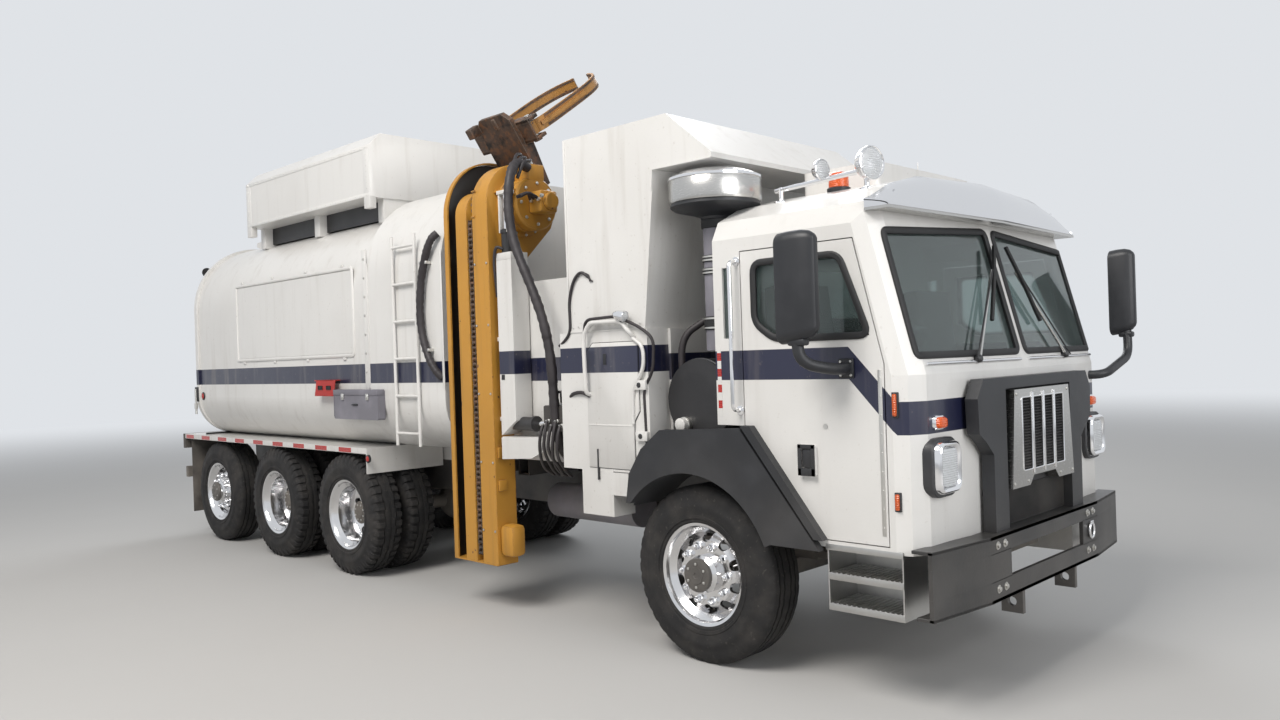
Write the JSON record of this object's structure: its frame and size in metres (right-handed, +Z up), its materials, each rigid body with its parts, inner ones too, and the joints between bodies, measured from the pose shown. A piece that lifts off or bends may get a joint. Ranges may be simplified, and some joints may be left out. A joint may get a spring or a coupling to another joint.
{
  "type": "side loader garbage truck",
  "caption": "Cab-over garbage truck with a side lift rail and bin gripper, open hopper, rounded body, roof gas pod, hinged doors and tailgate.",
  "frame": {"origin": "on the ground, midway along and across the truck", "axes": "+X forward, +Y to the truck's left, +Z up"},
  "size_m": [9.32, 3.12, 4.1785],
  "materials": {
    "white_paint": "gloss",
    "lift_yellow": "worn satin",
    "frame_black": "satin",
    "black_plastic": "matte",
    "tyre": "matte",
    "polished_alloy": "polished",
    "tread_alloy": "brushed",
    "chrome": "polished",
    "glass": "gloss",
    "grey_trim": "matte",
    "lamp_lens": "gloss",
    "dark_steel": "worn",
    "cast_grey": "rough",
    "stainless": "brushed"
  },
  "bodies": {
    "chassis": {"frame_rails": "frame_black", "front_axle": "cast_grey", "rear_axles": "cast_grey", "engine": "cast_grey", "side_boxes": "grey_trim", "cab_shell": "white_paint", "cab_glass": "glass", "cab_interior": "grey_trim", "bumper": "black_plastic", "tow_eyes": "frame_black", "grille_guard": "black_plastic", "grille": "chrome", "lamps": "lamp_lens", "windshield_trim": "stainless", "mirror_left": "black_plastic", "cab_steps": "tread_alloy", "front_fenders": "black_plastic", "roof_box": "white_paint", "air_cleaner": "stainless", "cooling_unit": "frame_black", "hopper_hood": "white_paint", "hopper_tub": "white_paint", "side_cabinet": "white_paint", "body_drum": "white_paint", "rear_deck": "white_paint", "tail": "frame_black", "gas_pod": "white_paint", "ladder": "white_paint", "lift_subframe": "frame_black"},
    "door_right": {"door_right": "white_paint", "door_glass_right": "glass", "mirror_right": "black_plastic"},
    "door_left": {"door_left": "white_paint", "door_glass_left": "glass"},
    "tailgate": {"tailgate": "white_paint"},
    "knuckle_right": {"knuckle_right": "cast_grey"},
    "knuckle_left": {"knuckle_left": "cast_grey"},
    "lift_mast": {"lift_mast": "lift_yellow", "lift_drive": "lift_yellow", "lift_guide": "white_paint"},
    "tip_link": {"lift_sprocket": "dark_steel"},
    "carriage": {"lift_carriage": "dark_steel"},
    "gripper_front": {"gripper_front": "lift_yellow"},
    "gripper_rear": {"gripper_rear": "lift_yellow"},
    "wheel_front_right": {"tyre_front_right": "tyre", "rim_front_right": "polished_alloy"},
    "wheel_front_left": {"tyre_front_left": "tyre", "rim_front_left": "polished_alloy"},
    "wheel_drive_1_right": {"tyre_drive_1_right": "tyre", "rim_drive_1_right": "polished_alloy"},
    "wheel_drive_1_left": {"tyre_drive_1_left": "tyre", "rim_drive_1_left": "polished_alloy"},
    "wheel_drive_2_right": {"tyre_drive_2_right": "tyre", "rim_drive_2_right": "polished_alloy"},
    "wheel_drive_2_left": {"tyre_drive_2_left": "tyre", "rim_drive_2_left": "polished_alloy"},
    "wheel_tag_right": {"tyre_tag_right": "tyre", "rim_tag_right": "polished_alloy"},
    "wheel_tag_left": {"tyre_tag_left": "tyre", "rim_tag_left": "polished_alloy"}
  },
  "joints": [
    {"name": "steer_right", "type": "hinge", "parent": "chassis", "child": "knuckle_right", "pos_m": [3.04, -0.9, 0.53], "axis": [0, 0, 1], "range_deg": [-30, 30]},
    {"name": "steer_left", "type": "hinge", "parent": "chassis", "child": "knuckle_left", "pos_m": [3.04, 0.9, 0.53], "axis": [0, 0, 1], "range_deg": [-30, 30]},
    {"name": "roll_front_right", "type": "hinge", "parent": "knuckle_right", "child": "wheel_front_right", "pos_m": [3.04, -1.02, 0.53], "axis": [0, 1, 0], "continuous": true},
    {"name": "roll_front_left", "type": "hinge", "parent": "knuckle_left", "child": "wheel_front_left", "pos_m": [3.04, 1.02, 0.53], "axis": [0, 1, 0], "continuous": true},
    {"name": "roll_drive_1_right", "type": "hinge", "parent": "chassis", "child": "wheel_drive_1_right", "pos_m": [-1.04, -1.085, 0.53], "axis": [0, 1, 0], "continuous": true},
    {"name": "roll_drive_1_left", "type": "hinge", "parent": "chassis", "child": "wheel_drive_1_left", "pos_m": [-1.04, 1.085, 0.53], "axis": [0, 1, 0], "continuous": true},
    {"name": "roll_drive_2_right", "type": "hinge", "parent": "chassis", "child": "wheel_drive_2_right", "pos_m": [-2.4, -1.085, 0.53], "axis": [0, 1, 0], "continuous": true},
    {"name": "roll_drive_2_left", "type": "hinge", "parent": "chassis", "child": "wheel_drive_2_left", "pos_m": [-2.4, 1.085, 0.53], "axis": [0, 1, 0], "continuous": true},
    {"name": "roll_tag_right", "type": "hinge", "parent": "chassis", "child": "wheel_tag_right", "pos_m": [-3.82, -1.04, 0.53], "axis": [0, 1, 0], "continuous": true},
    {"name": "roll_tag_left", "type": "hinge", "parent": "chassis", "child": "wheel_tag_left", "pos_m": [-3.82, 1.04, 0.53], "axis": [0, 1, 0], "continuous": true},
    {"name": "door_right_swing", "type": "hinge", "parent": "chassis", "child": "door_right", "pos_m": [4.34, -1.22, 1.6], "axis": [0, 0, 1], "range_deg": [0, 70]},
    {"name": "door_left_swing", "type": "hinge", "parent": "chassis", "child": "door_left", "pos_m": [4.34, 1.22, 1.6], "axis": [0, 0, -1], "range_deg": [0, 70]},
    {"name": "tailgate_swing", "type": "hinge", "parent": "chassis", "child": "tailgate", "pos_m": [-4.222, 0, 3.272], "axis": [0, 1, 0], "range_deg": [0, 80]},
    {"name": "lift_reach", "type": "slide", "parent": "chassis", "child": "lift_mast", "axis": [0, -1, 0], "range_m": [0, 1.2]},
    {"name": "lift_tip", "type": "hinge", "parent": "lift_mast", "child": "tip_link", "pos_m": [0.91, -0.9, 2.98], "axis": [1, 0, 0], "range_deg": [0, 145]},
    {"name": "lift_raise", "type": "slide", "parent": "tip_link", "child": "carriage", "axis": [0, -0.5736, 0.8191], "range_m": [0, 1.85]},
    {"name": "grip_front", "type": "hinge", "parent": "carriage", "child": "gripper_front", "pos_m": [1.172, -0.78293, 3.5869], "axis": [0, 0.5736, -0.8191], "range_deg": [0, 60]},
    {"name": "grip_rear", "type": "hinge", "parent": "carriage", "child": "gripper_rear", "pos_m": [0.648, -0.78293, 3.5869], "axis": [0, -0.5736, 0.8191], "range_deg": [0, 60]}
  ],
  "couplings": [
    {"joint": "steer_left", "follows": "steer_right", "ratio": 1},
    {"joint": "grip_rear", "follows": "grip_front", "ratio": 1}
  ]
}
